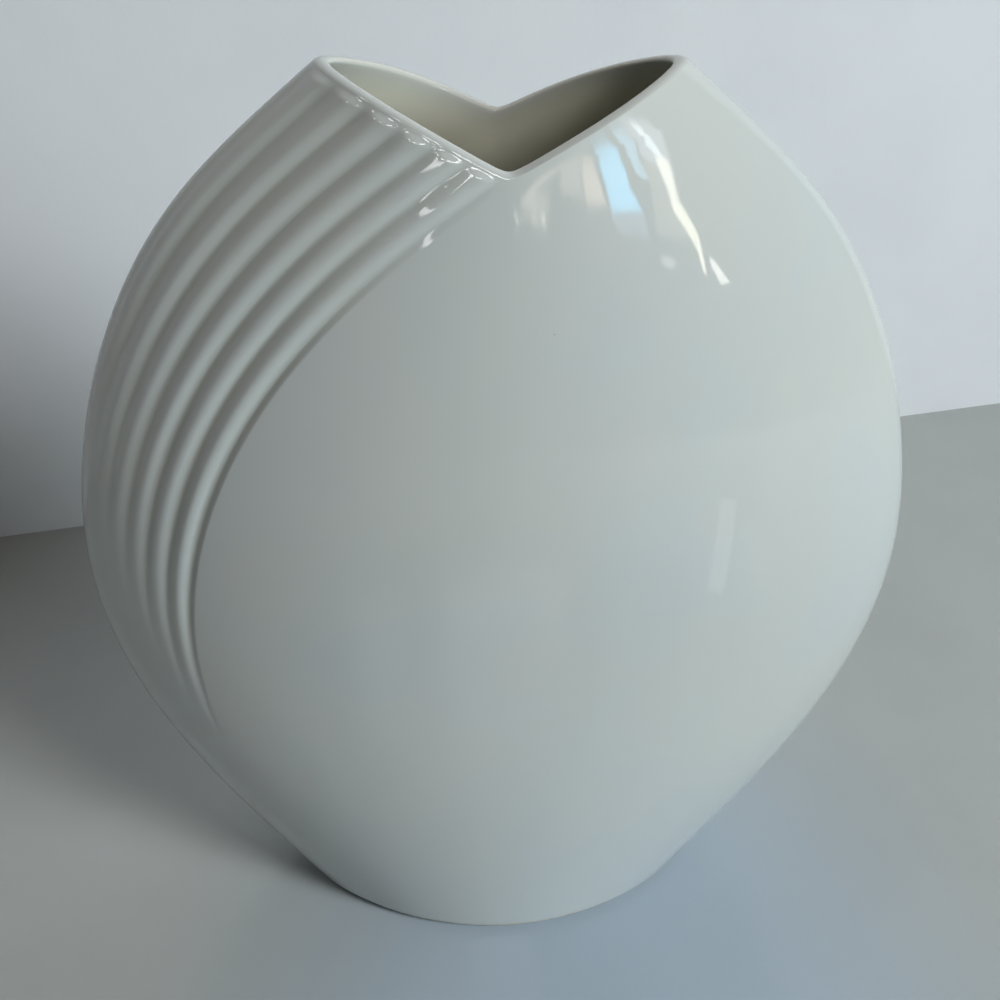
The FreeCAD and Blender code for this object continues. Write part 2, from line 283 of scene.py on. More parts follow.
@dataclass(frozen=True)
class Fluting:
    """The fan of rounded ridges and grooves on the left quarter, in millimetres.

    The fan's first rise and the far wall of its last groove each take the verge's share of a ridge.
    """

    ridges: int = 6
    verge_share: float = 0.5
    ridge_rise: float = 0.55
    groove_depth: float = 0.65
    groove_softness: float = 0.30
    edge_wall: float = 0.30
    ridge_end_band: float = 0.2
    ridge_end: float = 1.7
    groove_end: float = 6.0
    shallow_start: float = 15.0
    shallow_length: float = 50.0
    shallow_loss: float = 0.80
    margin_low: float = 5.5
    margin_top: float = 1.5
    edge_shares: tuple[float, ...] = (0.00, 0.30, 0.55, 0.75, 0.87, 1.00)
    edge_distances: tuple[float, ...] = (21.5, 30.9, 38.9, 47.0, 55.6, 65.9)
    fade_end_side: float = 119.0
    fade_end_edge: float = 49.0
    fade_length: float = 64.0

    def on_fan(self, phase: np.ndarray) -> np.ndarray:
        """Whether each phase lies on the fan."""
        return (phase >= 0.0) & (phase <= self.ridges + self.verge_share)

    def swell(self, phase: np.ndarray) -> np.ndarray:
        """0 in a groove's bottom and 1 on a ridge's top or past the last groove, at each phase."""
        soft = self.groove_softness
        round_top = (np.hypot(np.sin(math.pi * phase), soft) - soft) / (math.hypot(1.0, soft) - soft)
        last_wall = smooth_step((phase - self.ridges) / self.verge_share)
        return np.where(phase > self.ridges, last_wall, round_top)

    def low_strength(self, phase: np.ndarray, height: np.ndarray) -> np.ndarray:
        """How far the flutes are formed as they die away downwards, from 0 to 1."""
        across = np.minimum(phase / self.ridges, 1.0)
        fade_end = self.fade_end_side + (self.fade_end_edge - self.fade_end_side) * across
        return smooth_step((height - fade_end) / self.fade_length)

    def groove_strength(self, phase: np.ndarray, below_rim: np.ndarray) -> np.ndarray:
        """How deep the grooves are as they run out under the rim, from 0 to 1."""
        across = np.clip(phase / self.ridges, 0.0, 1.0)
        shallow = 1.0 - smooth_step((below_rim - self.shallow_start) / self.shallow_length)
        return smooth_step(below_rim / self.groove_end) * (1.0 - self.shallow_loss * across * shallow)

    def relief(self, phase: np.ndarray, height: np.ndarray, below_rim: np.ndarray) -> np.ndarray:
        """Rise of the fluted face above the plain shape.

        Args:
            phase: Place across the fan, in ridges, and below 0 or past the last verge on the
                plain parts.
            height: Height of each point.
            below_rim: How far each point lies below the rim.

        Returns:
            The rise at each point.
        """
        swell = self.swell(phase)
        tips = smooth_step((below_rim - self.ridge_end_band) / self.ridge_end)
        ridge = np.where(phase > self.ridges, 0.0, self.ridge_rise * swell * tips)
        groove = self.groove_depth * (1.0 - swell) * self.groove_strength(phase, below_rim)
        first_rise = smooth_step(phase / self.verge_share)
        profile = (ridge - groove) * first_rise * self.low_strength(phase, height)
        return np.where(self.on_fan(phase), profile, 0.0)


class Tint(Enum):
    """Names of the values that the skin's vertices carry for its finish."""

    POOL = "groove_darkening"
    # Painted shade: the warm, dim light inside the mouth.
    INSIDE = "inside"
    LIP = "lip"


@dataclass
class ColumnPlan:
    """Where the skin's upright lines run on the front half, from the -X to the +X side."""

    form: VaseForm
    fluting: Fluting
    margin: int = 4
    per_ridge: int = 14
    face: int = 50
    halvings: int = 24
    phase: np.ndarray = field(init=False, repr=False)
    face_share: np.ndarray = field(init=False, repr=False)
    edge_line: SmoothLine = field(init=False, repr=False)

    def __post_init__(self) -> None:
        """Work out the phase or the share of the plain face that each column has."""
        steps = round((self.fluting.ridges + self.fluting.verge_share) * self.per_ridge)
        margin = np.arange(self.margin) / self.margin - 1.0
        flutes = np.arange(steps + 1) / self.per_ridge
        plain = (1.0 - np.cos(math.pi * np.arange(1, self.face + 1) / self.face)) / 2.0
        self.phase = np.concatenate([margin, flutes, np.full(self.face, self.fluting.ridges + 1.0)])
        self.face_share = np.concatenate([np.zeros(self.margin + steps + 1), plain])
        self.edge_line = SmoothLine(
            [share * self.form.height for share in self.fluting.edge_shares],
            self.fluting.edge_distances,
        )

    @property
    def around(self) -> int:
        """Number of columns all the way round."""
        return 2 * (len(self.phase) - 1)

    def arcs(self, heights: np.ndarray) -> np.ndarray:
        """Distances round the front half section, a row for each height."""
        turns = np.linspace(0.0, math.pi, self.form.arc_steps + 1)
        points = self.form.point(turns[None, :], heights[:, None], 0.0)
        steps = np.linalg.norm(np.diff(points[..., :2], axis=1), axis=-1)
        return np.concatenate([np.zeros((len(heights), 1)), np.cumsum(steps, axis=1)], axis=1)

    def turns(self, heights: np.ndarray) -> np.ndarray:
        """Turn of every column, each at its own height.

        Args:
            heights: One height for each column of the front half.

        Returns:
            The turn at which each column crosses its height.
        """
        arcs = self.arcs(heights)
        margin_span = self.fluting.margin_top - self.fluting.margin_low
        margin = self.fluting.margin_low + margin_span * heights / self.form.height
        edge = self.edge_line.at(heights)
        pitch = (edge - margin) / self.fluting.ridges
        last_wall = pitch * self.fluting.edge_wall
        shoulder = edge + last_wall
        past = (self.phase - self.fluting.ridges) / self.fluting.verge_share
        distance = np.where(past > 0.0, edge + last_wall * past, margin + pitch * self.phase)
        distance = np.where(self.phase < 0.0, margin * (1.0 + self.phase), distance)
        plain = shoulder + self.face_share * (arcs[:, -1] - shoulder)
        distance = np.where(self.face_share > 0.0, plain, distance)
        even = np.linspace(0.0, math.pi, self.form.arc_steps + 1)
        return np.array([np.interp(d, row, even) for d, row in zip(distance, arcs)])

    def edge_heights(self, inset: float, crown: float, fixed: np.ndarray | None = None) -> np.ndarray:
        """Height at which each column meets the rim, less a crown.

        Args:
            inset: Distance inside the glaze's outer face.
            crown: How far below the crest line the edge lies.
            fixed: Turns that the columns keep, or None to follow each column as it climbs.

        Returns:
            One height for each column.
        """
        well_below = self.form.height - 2.0 * (self.form.notch_drop + crown)
        low = np.full(len(self.phase), well_below)
        high = np.full(len(self.phase), self.form.height)
        for _ in range(self.halvings):
            middle = (low + high) / 2.0
            turn = self.turns(middle) if fixed is None else fixed
            x = self.form.point(turn, middle, inset)[:, 0]
            under = self.form.rim_height(x) - crown > middle
            low = np.where(under, middle, low)
            high = np.where(under, high, middle)
        return low


def bow(start: np.ndarray, start_pull: np.ndarray, end: np.ndarray, end_pull: np.ndarray,
        rows: int) -> list[np.ndarray]:
    """Rows of points between two rows, on a smooth bow.

    Args:
        start: The row that the bow leaves.
        start_pull: How it leaves.
        end: The row that it reaches.
        end_pull: The pull at the end, pointing back from it.
        rows: How many rows lie between.

    Returns:
        The rows between the two ends.
    """
    near, far = start + start_pull, end + end_pull
    places = [k / (rows + 1) for k in range(1, rows + 1)]
    return [
        start * (1 - t) ** 3 + 3 * near * t * (1 - t) ** 2 + 3 * far * t * t * (1 - t) + end * t**3
        for t in places
    ]


@dataclass
class GlazedSkin:
    """The glaze: a thin glossy coat on the outside, the lip, the inside and the floor.

    Rows crowd towards the rim on both sides. The crease angle is in degrees.
    """

    form: VaseForm
    columns: ColumnPlan
    wall_rows: int = 76
    rim_rows: int = 30
    rim_span: float = 7.0
    rim_crowding: float = 1.4
    lip_rows: int = 11
    inner_rows: int = 30
    inner_crowding: float = 1.6
    fillet_rows: int = 8
    floor_rows: int = 6
    lip_tint_start: int = 3
    lip_tint_over: int = 2
    # The inside's painted shade fades in from this many rows up the lip, over this many rows.
    inside_shade_lead: float = 2.0
    inside_shade_rows: float = 6.0
    blank_radius: float = 50.0
    weld: float = 0.001
    crease_angle: float = 40.0

    def outside(self, top: np.ndarray) -> list[np.ndarray]:
        """Rows up the outside, from the foot edge to the rim.

        Args:
            top: Height of the outer edge of the rim for each column.

        Returns:
            The rows from the lowest to the highest.
        """
        foot = self.form.foot_edge_height
        climb = top - self.rim_span - foot
        heights = [foot + climb * k / self.wall_rows for k in range(self.wall_rows)]
        for k in range(self.rim_rows, -1, -1):
            heights.append(top - self.rim_span * (k / self.rim_rows) ** self.rim_crowding)
        return [self.outer_row(height) for height in heights]

    def outer_row(self, heights: np.ndarray) -> np.ndarray:
        """One row of the fluted outside, each column at its own height."""
        turn = self.columns.turns(heights)
        point = self.form.point(turn, heights, 0.0)
        small = math.pi / self.form.arc_steps
        along = self.form.point(turn + small, heights, 0.0) - self.form.point(turn - small, heights, 0.0)
        outward = unit(np.stack([along[:, 1], -along[:, 0], np.zeros(len(turn))], axis=-1))
        below_rim = self.form.rim_height(point[:, 0]) - self.form.lip_crown - heights
        relief = self.columns.fluting.relief(self.columns.phase, heights, below_rim)
        return point + outward * relief[:, None]

    def front_rows(self) -> tuple[np.ndarray, int]:
        """All rows of the front half.

        Returns:
            The rows, and how many of them lie outside, up to the rim's outer edge.
        """
        form, plan = self.form, self.columns
        top = plan.edge_heights(0.0, form.lip_crown)
        top_turn = plan.turns(top)
        inner_top = plan.edge_heights(form.wall, form.lip_crown, top_turn)
        rows = self.outside(top)
        outer_count = len(rows)
        inner_edge = form.inside(top_turn, inner_top)
        reach = form.lip_crown / BOW_RISE_SHARE
        outer_pull = unit(rows[-1] - rows[-2]) * reach
        inner_pull = unit(inner_edge - form.inside(top_turn, inner_top - form.lip_crown)) * reach
        rows += bow(rows[-1], outer_pull, inner_edge, inner_pull, self.lip_rows)
        fillet_top = np.full(len(top), form.floor_height + form.floor_fillet)
        floor_turn = plan.turns(fillet_top)
        for k in range(self.inner_rows + 1):
            share = (k / self.inner_rows) ** self.inner_crowding
            turn = top_turn + (floor_turn - top_turn) * smooth_step(share)
            rows.append(form.inside(turn, inner_top + (fillet_top - inner_top) * share))
        floor = np.full(len(top), form.floor_height)
        corner = form.point(floor_turn, floor, form.wall)
        floor_edge = form.point(floor_turn, floor, form.wall + form.floor_fillet)
        reach = form.floor_fillet * ROUND_PULL_SHARE
        rows += bow(rows[-1], unit(corner - rows[-1]) * reach, floor_edge,
                    unit(corner - floor_edge) * reach, self.fillet_rows)
        centre = np.array([0.0, 0.0, form.floor_height])
        shares = [1.0 - k / self.floor_rows for k in range(self.floor_rows + 1)]
        rows += [centre + (floor_edge - centre) * share for share in shares]
        return np.array(rows), outer_count

    def tints(self, rows: np.ndarray, outer_count: int) -> dict[Tint, np.ndarray]:
        """Values for the finish at every point of the front rows.

        Args:
            rows: The rows of the front half.
            outer_count: How many of them lie outside.

        Returns:
            A value from 0 to 1 for each point, under each tint.
        """
        fluting, plan = self.columns.fluting, self.columns
        shape = rows.shape[:2]
        groove_dark, inside, lip = np.zeros(shape), np.zeros(shape), np.zeros(shape)
        outer = rows[:outer_count]
        below_rim = self.form.rim_height(outer[..., 0]) - self.form.lip_crown - outer[..., 2]
        phase = plan.phase[None, :]
        strength = fluting.low_strength(phase, outer[..., 2]) * fluting.groove_strength(phase, below_rim)
        # A darker, greener colour in the groove bottoms, as deep as the grooves are cut.
        groove_dark[:outer_count] = np.where(fluting.on_fan(phase), 1.0 - fluting.swell(phase), 0.0) * strength
        inner_start = outer_count + self.lip_rows
        lip_rows = np.arange(outer_count + self.lip_tint_start, inner_start + self.lip_tint_over)
        lip[lip_rows] = np.sin(math.pi * (np.arange(len(lip_rows)) + 0.5) / len(lip_rows))[:, None]
        # Painted shade: a warmer, slightly darker colour over the whole inside, fading in near the lip's
        # inner edge.
        rows_in = np.arange(shape[0]) - inner_start + self.inside_shade_lead
        inside += smooth_step(rows_in / self.inside_shade_rows)[:, None]
        return {Tint.POOL: groove_dark, Tint.INSIDE: inside, Tint.LIP: lip}

    def blank(self, name: str, ring_count: int) -> bpy.types.Object:
        """An open tube with a ring for each row, ready to be pressed to shape.

        Args:
            name: Name of the piece.
            ring_count: Number of rings, an even number and one.

        Returns:
            The tube, with rings a millimetre apart.
        """
        deselect_all()
        bpy.ops.mesh.primitive_cylinder_add(
            vertices=self.columns.around,
            radius=self.blank_radius * MM,
            depth=(ring_count - 1) * MM,
            end_fill_type="NOTHING",
            location=(0.0, 0.0, (ring_count - 1) * MM / 2.0),
        )
        piece = bpy.context.object
        piece.name = piece.data.name = name
        bpy.ops.object.transform_apply(location=True, rotation=True, scale=True)
        bpy.ops.object.mode_set(mode="EDIT")
        pick_upright_edges(piece)
        bpy.ops.mesh.subdivide(number_cuts=1)
        pick_upright_edges(piece)
        bpy.ops.mesh.subdivide(number_cuts=(ring_count - 1) // 2 - 1)
        bpy.ops.object.mode_set(mode="OBJECT")
        return piece

    def build(self, name: str) -> bpy.types.Object:
        """Make the coat as one closed thin solid.

        Args:
            name: Name of the piece.

        Returns:
            The finished piece.
        """
        front, outer_count = self.front_rows()
        tints = self.tints(front, outer_count)
        ring_count = len(front)
        piece = self.blank(name, ring_count)
        mesh = piece.data
        places = np.empty(len(mesh.vertices) * 3)
        mesh.vertices.foreach_get("co", places)
        places = places.reshape(-1, 3)
        ring = np.rint(places[:, 2] / MM).astype(int)
        around = self.columns.around
        angle = np.arctan2(places[:, 1], places[:, 0]) - math.pi
        column = np.rint(angle * around / math.tau).astype(int) % around
        behind = column > around // 2
        column = np.where(behind, around - column, column)
        pressed = front[ring, column] * MM
        pressed[behind, 1] *= -1.0
        mesh.vertices.foreach_set("co", pressed.ravel())
        for tint, values in tints.items():
            layer = mesh.attributes.new(tint.value, "FLOAT", "POINT")
            layer.data.foreach_set("value", values[ring, column].ravel())
        mesh.update()
        self.close(piece)
        return piece

    def close(self, piece: bpy.types.Object) -> None:
        """Merge the floor's middle, give the coat its thickness and smooth it."""
        only(piece)
        bpy.ops.object.mode_set(mode="EDIT")
        bpy.ops.mesh.select_all(action="SELECT")
        bpy.ops.mesh.remove_doubles(threshold=self.weld * MM)
        bpy.ops.object.mode_set(mode="OBJECT")
        coat = piece.modifiers.new("coat", "SOLIDIFY")
        coat.thickness = self.form.glaze * MM
        coat.offset = -1.0
        coat.use_even_offset = True
        bpy.ops.object.modifier_apply(modifier=coat.name)
        bpy.ops.object.shade_smooth_by_angle(angle=math.radians(self.crease_angle))


def deselect_all() -> None:
    """Leave nothing selected, with Blender out of edit mode."""
    if bpy.context.object is not None and bpy.context.object.mode != "OBJECT":
        bpy.ops.object.mode_set(mode="OBJECT")
    bpy.ops.object.select_all(action="DESELECT")


def only(piece: bpy.types.Object) -> None:
    """Select one object alone and make it the active one."""
    deselect_all()
    piece.select_set(True)
    bpy.context.view_layer.objects.active = piece


def pick_upright_edges(piece: bpy.types.Object) -> None:
    """Select the edges that climb, in edit mode."""
    bpy.ops.mesh.select_mode(type="EDGE")
    bpy.ops.mesh.select_all(action="DESELECT")
    shape = bmesh.from_edit_mesh(piece.data)
    for edge in shape.edges:
        low, high = edge.verts
        edge.select_set(abs(low.co.z - high.co.z) > LEVEL_LIMIT * MM)
    bmesh.update_edit_mesh(piece.data)


class Value:
    """A number or colour that varies over a surface: one output socket of a recipe."""

    def __init__(self, recipe: "Recipe", socket: bpy.types.NodeSocket) -> None:
        """Wrap a socket of a recipe's node."""
        self.recipe = recipe
        self.socket = socket

    def math(self, operation: str, *others: "Value | float", swapped: bool = False) -> "Value":
        """One Math node.

        Args:
            operation: Name of the sum.
            others: The other terms.
            swapped: True to put this value second.

        Returns:
            The result.
        """
        terms = [self, *others]
        if swapped:
            terms.reverse()
        made = self.recipe.node("ShaderNodeMath", {"operation": operation}, dict(enumerate(terms)))
        return Value(self.recipe, made.outputs[0])

    def __add__(self, other: "Value | float") -> "Value":
        """Sum."""
        return self.math("ADD", other)

    __radd__ = __add__

    def __sub__(self, other: "Value | float") -> "Value":
        """Difference."""
        return self.math("SUBTRACT", other)

    def __rsub__(self, other: "Value | float") -> "Value":
        """Difference, from a number."""
        return self.math("SUBTRACT", other, swapped=True)

    def __mul__(self, other: "Value | float") -> "Value":
        """Product."""
        return self.math("MULTIPLY", other)

    __rmul__ = __mul__

    def __truediv__(self, other: "Value | float") -> "Value":
        """Quotient."""
        return self.math("DIVIDE", other)

    def __pow__(self, other: "Value | float") -> "Value":
        """Power."""
        return self.math("POWER", other)

    def ramp(self, low: float, high: float) -> "Value":
        """0 up to the low value and 1 from the high one, smooth between."""
        made = self.recipe.node(
            "ShaderNodeMapRange",
            {"interpolation_type": "SMOOTHSTEP"},
            {"Value": self, "From Min": low, "From Max": high},
        )
        return Value(self.recipe, made.outputs["Result"])


class Recipe:
    """The node tree of one material."""

    def __init__(self, name: str) -> None:
        """Start a material with only its output and its main shader."""
        self.material = bpy.data.materials.new(name)
        self.material.use_nodes = True
        self.tree = self.material.node_tree
        self.tree.nodes.clear()
        self.shader = self.node("ShaderNodeBsdfPrincipled")
        self.output = self.node("ShaderNodeOutputMaterial")
        self.tree.links.new(self.shader.outputs[0], self.output.inputs["Surface"])
        self.object_place = Value(self, self.node("ShaderNodeTexCoord").outputs["Object"])

    def node(self, kind: str, settings: Mapping[str, object] | None = None,
             inputs: Mapping[str | int, object] | None = None) -> bpy.types.Node:
        """Make a node.

        Args:
            kind: Type of the node.
            settings: Its own settings, which are set first.
            inputs: A value or a link for each input, by name or number.

        Returns:
            The node.
        """
        made = self.tree.nodes.new(kind)
        for name, value in (settings or {}).items():
            setattr(made, name, value)
        for name, value in (inputs or {}).items():
            self.feed(made.inputs[name], value)
        return made

    def feed(self, socket: bpy.types.NodeSocket, value: object) -> None:
        """Link a value to a socket, or set it there if it is the same everywhere."""
        if isinstance(value, Value):
            self.tree.links.new(value.socket, socket)
        elif isinstance(value, tuple) and len(value) == 3 and socket.type == "RGBA":
            socket.default_value = (*value, 1.0)
        else:
            socket.default_value = value

    def set(self, **inputs: object) -> None:
        """Feed the main shader's inputs, named with _ for a space."""
        for name, value in inputs.items():
            self.feed(self.shader.inputs[name.replace("_", " ")], value)

    def clear_behind(self) -> None:
        """Let a view from behind the sheet see through it."""
        backfacing = Value(self, self.node("ShaderNodeNewGeometry").outputs["Backfacing"])
        clear = self.node("ShaderNodeBsdfTransparent")
        shown = self.node("ShaderNodeMixShader", None, {0: backfacing})
        self.tree.links.new(self.shader.outputs[0], shown.inputs[1])
        self.tree.links.new(clear.outputs[0], shown.inputs[2])
        self.tree.links.new(shown.outputs[0], self.output.inputs["Surface"])

    def attribute(self, tint: Tint) -> Value:
        """A value that the mesh carries."""
        made = self.node("ShaderNodeAttribute", {"attribute_name": tint.value})
        return Value(self, made.outputs["Fac"])

    def noise(self, grain: float, detail: float, stretch: Triple = (1.0, 1.0, 1.0)) -> Value:
        """Soft random noise.

        Args:
            grain: Size of its features, in millimetres.
            detail: How much finer noise lies on it.
            stretch: How much it is squeezed along each axis.

        Returns:
            A value around 0.5.
        """
        place = self.node("ShaderNodeMapping", None, {"Vector": self.object_place, "Scale": stretch})
        made = self.node(
            "ShaderNodeTexNoise",
            {"noise_dimensions": "3D"},
            {"Vector": Value(self, place.outputs[0]), "Scale": 1.0 / (grain * MM), "Detail": detail},
        )
        return Value(self, made.outputs["Fac"])

    def cells(self, grain: float) -> tuple[Value, Value]:
        """Scattered points.

        Args:
            grain: Mean gap between the points, in millimetres.

        Returns:
            The distance from the nearest point in millimetres, and a random value for it.
        """
        made = self.node(
            "ShaderNodeTexVoronoi",
            {"voronoi_dimensions": "3D", "feature": "F1"},
            {"Vector": self.object_place, "Scale": 1.0 / (grain * MM)},
        )
        pick = self.node("ShaderNodeSeparateColor", None, {"Color": Value(self, made.outputs["Color"])})
        return Value(self, made.outputs["Distance"]) * grain, Value(self, pick.outputs[0])

    def distance(self, centre: Triple, stretch: Triple) -> Value:
        """Distance from a place.

        Args:
            centre: The place, in millimetres.
            stretch: How much each axis is squeezed before the distance is taken.

        Returns:
            The distance in millimetres.
        """
        shift = tuple(-place * share * MM for place, share in zip(centre, stretch))
        moved = self.node(
            "ShaderNodeMapping",
            None,
            {"Vector": self.object_place, "Location": shift, "Scale": stretch},
        )
        place = Value(self, moved.outputs[0])
        made = self.node("ShaderNodeVectorMath", {"operation": "LENGTH"}, {0: place})
        return Value(self, made.outputs["Value"]) / MM

    def height(self) -> Value:
        """Height above the table, in millimetres."""
        made = self.node("ShaderNodeSeparateXYZ", None, {"Vector": self.object_place})
        return Value(self, made.outputs["Z"]) / MM

    def blend(self, share: Value, under: "Value | Colour", over: "Value | Colour") -> Value:
        """Colour between two others.

        Args:
            share: 0 for the first colour and 1 for the second.
            under: The first colour.
            over: The second colour.

        Returns:
            The mixed colour.
        """
        made = self.node("ShaderNodeMix", {"data_type": "RGBA"}, {0: share, 6: under, 7: over})
        return Value(self, made.outputs[2])

    def bump(self, relief: Value, depth: float, below: Value | None = None) -> Value:
        """Surface direction tilted by a small relief.

        Args:
            relief: The relief, as a share of its depth.
            depth: Its depth in millimetres.
            below: A bump that it lies on.

        Returns:
            The tilted direction.
        """
        inputs = {"Height": relief, "Distance": depth * MM, "Strength": 1.0}
        if below is not None:
            inputs["Normal"] = below
        return Value(self, self.node("ShaderNodeBump", None, inputs).outputs[0])


@dataclass(frozen=True)
class GlazeFinish:
    """Clear glaze over white porcelain: glossy, with a faint ripple, a darker, greener colour in the
    grooves and painted shade inside: a warmer, slightly darker colour.
    """

    face: Colour = (0.66, 0.69, 0.67)
    cool_cloud: Colour = (0.63, 0.68, 0.69)
    cloud_grain: float = 45.0
    cloud_band: Span = (0.35, 0.70)
    # A darker, greener colour in the grooves, laid on at this share where they are deepest.
    groove_dark_colour: Colour = (0.56, 0.60, 0.56)
    groove_dark_strength: float = 0.7
    # Painted shade: the warm, dim light inside the mouth, given as a yellower colour.
    inside: Colour = (0.66, 0.65, 0.54)
    lip: Colour = (0.74, 0.74, 0.69)
    lip_focus: float = 2.0
    speck: Colour = (0.32, 0.28, 0.22)
    speck_gap: float = 9.0
    speck_edge: Span = (0.12, 0.30)
    speck_band: Span = (0.93, 0.96)
    speck_strength: float = 0.6
    speck_pit: float = 0.06
    smear_grain: float = 16.0
    smear_stretch: Triple = (1.0, 1.0, 0.45)
    smear_band: Span = (0.40, 0.75)
    ripple_grain: float = 12.0
    ripple_depth: float = 0.002
    roughness: float = 0.035
    roughness_spread: float = 0.03
    refraction: float = 1.5

    def make(self) -> bpy.types.Material:
        """The material."""
        mix = Recipe("glaze")
        cloud = mix.noise(self.cloud_grain, 3.0).ramp(*self.cloud_band)
        colour = mix.blend(cloud, self.face, self.cool_cloud)
        colour = mix.blend(mix.attribute(Tint.POOL) * self.groove_dark_strength, colour, self.groove_dark_colour)
        # Painted shade inside the mouth.
        colour = mix.blend(mix.attribute(Tint.INSIDE), colour, self.inside)
        colour = mix.blend(mix.attribute(Tint.LIP) ** self.lip_focus, colour, self.lip)
        distance, pick = mix.cells(self.speck_gap)
        speck = (1.0 - distance.ramp(*self.speck_edge)) * pick.ramp(*self.speck_band)
        colour = mix.blend(speck * self.speck_strength, colour, self.speck)
        smear = mix.noise(self.smear_grain, 4.0, self.smear_stretch).ramp(*self.smear_band)
        ripple = mix.bump(mix.noise(self.ripple_grain, 1.0), self.ripple_depth)
        mix.set(
            Base_Color=colour,
            Roughness=smear * self.roughness_spread + self.roughness,
            Normal=mix.bump(1.0 - speck, self.speck_pit, ripple),
            IOR=self.refraction,
        )
        return mix.material


@dataclass(frozen=True)
class BiscuitFinish:
    """Bare fired porcelain of the foot ring and the recess: matt, fine and a little scuffed."""

    clay: Colour = (0.70, 0.69, 0.64)
    warm_clay: Colour = (0.64, 0.61, 0.54)
    blotch_grain: float = 7.0
    blotch_band: Span = (0.40, 0.70)
    scuff: Colour = (0.36, 0.35, 0.33)
    scuff_heights: Span = (0.05, 0.35)
    scuff_grain: float = 3.0
    scuff_stretch: Triple = (1.0, 0.4, 1.0)
    scuff_band: Span = (0.48, 0.66)
    scuff_strength: float = 0.7
    clay_grain: float = 0.35
    clay_relief: float = 0.03
    roughness: float = 0.82
    polish: float = 0.22
    refraction: float = 1.5

    def make(self) -> bpy.types.Material:
        """The material."""
        mix = Recipe("bare_porcelain")
        blotch = mix.noise(self.blotch_grain, 4.0).ramp(*self.blotch_band)
        colour = mix.blend(blotch, self.clay, self.warm_clay)
        resting = 1.0 - mix.height().ramp(*self.scuff_heights)
        rubbed = mix.noise(self.scuff_grain, 5.0, self.scuff_stretch).ramp(*self.scuff_band)
        colour = mix.blend(resting * rubbed * self.scuff_strength, colour, self.scuff)
        mix.set(
            Base_Color=colour,
            Roughness=self.roughness - resting * self.polish,
            Normal=mix.bump(mix.noise(self.clay_grain, 2.0), self.clay_relief),
            IOR=self.refraction,
        )
        return mix.material


@dataclass(frozen=True)
class StageFinish:
    """Plain finish of the table or the wall: mottled, clear from behind, perhaps with a painted pool of
    light in its colour.
    """

    name: str
    colour: Colour
    mottle: Colour
    roughness: float
    # A colour for a pool of light painted into the sheet's colour, with its centre in millimetres, its
    # stretch and its fade.
    painted_light: Colour | None = None
    painted_light_centre: Triple = (25.0, -130.0, 0.0)
    painted_light_stretch: Triple = (1.0, 0.5, 1.0)
    painted_light_fade: Span = (40.0, 125.0)
    mottle_grain: float = 60.0
    mottle_band: Span = (0.35, 0.70)
    tooth_grain: float = 1.6
    tooth_relief: float = 0.03

    def make(self) -> bpy.types.Material:
        """The material."""
        mix = Recipe(self.name)
        share = mix.noise(self.mottle_grain, 4.0).ramp(*self.mottle_band)
        colour = mix.blend(share, self.colour, self.mottle)
        # Painted light: a soft bluish pool of light laid into the sheet's own colour.
        if self.painted_light is not None:
            away = mix.distance(self.painted_light_centre, self.painted_light_stretch).ramp(*self.painted_light_fade)
            colour = mix.blend(1.0 - away, colour, self.painted_light)
        mix.set(
            Base_Color=colour,
            Roughness=self.roughness,
            Normal=mix.bump(mix.noise(self.tooth_grain, 3.0), self.tooth_relief),
        )
        mix.clear_behind()
        return mix.material


@dataclass
class Stage:
    """The plain pale table top, with a bluish pool of light painted in front of the vase, and the wall
    behind it.
    """

    table_half: float = 1600.0
    wall_left: Span = (-164.5, 153.8)
    wall_right: Span = (224.4, 243.4)
    wall_height: float = 1400.0
    # The table's last colour is a bluish pool of light painted in front of the vase's foot.
    table_finish: StageFinish = StageFinish(
        "table", (0.475, 0.497, 0.49), (0.45, 0.47, 0.463), 0.22, (0.46, 0.555, 0.66)
    )
    wall_finish: StageFinish = StageFinish("wall", (0.84, 0.86, 0.90), (0.81, 0.83, 0.88), 0.7)

    def build(self) -> None:
        """Make both sheets and mark them as no part of the object."""
        deselect_all()
        bpy.ops.mesh.primitive_plane_add(size=2.0 * self.table_half * MM)
        table = bpy.context.object
        table.name = "table_top"
        dress(table, self.table_finish.make())
        start, end = np.array(self.wall_left), np.array(self.wall_right)
        along = (end - start) / np.linalg.norm(end - start)
        middle = (start + end) / 2.0
        bpy.ops.mesh.primitive_plane_add(
            size=2.0 * self.wall_height * MM,
            location=(middle[0] * MM, middle[1] * MM, 0.0),
            rotation=(math.pi / 2.0, 0.0, math.atan2(along[1], along[0])),
        )
        wall = bpy.context.object
        wall.name = "wall"
        dress(wall, self.wall_finish.make())
        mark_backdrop(table, wall)


@dataclass
class PhotoCamera:
    """The photograph's viewpoint, for a square picture. Angles are degrees, clips are metres."""

    azimuth: float = -3.49
    elevation: float = 30.81
    roll: float = 0.67
    distance: float = 312.1
    aim_across: float = 0.60
    aim_height: float = 103.0
    lens: float = 50.4
    sensor: float = 36.0
    clips: Span = (0.01, 20.0)

    def place(self) -> None:
        """Make the camera and give it to the scene."""
        turn, tilt = math.radians(self.azimuth), math.radians(self.roll)
        back = toward(self.azimuth, self.elevation)
        right = Vector((math.cos(turn), math.sin(turn), 0.0))
        up = back.cross(right)
        tilted_right = right * math.cos(tilt) + up * math.sin(tilt)
        tilted_up = up * math.cos(tilt) - right * math.sin(tilt)
        aim = right * self.aim_across + Vector((0.0, 0.0, self.aim_height))
        data = bpy.data.cameras.new("photo_camera")
        data.lens = self.lens
        data.sensor_width = self.sensor
        data.clip_start, data.clip_end = self.clips
        camera = bpy.data.objects.new("photo_camera", data)
        turned = Matrix((tilted_right, tilted_up, back)).transposed().to_4x4()
        camera.matrix_world = Matrix.Translation((aim + back * self.distance) * MM) @ turned
        bpy.context.scene.collection.objects.link(camera)
        bpy.context.scene.camera = camera


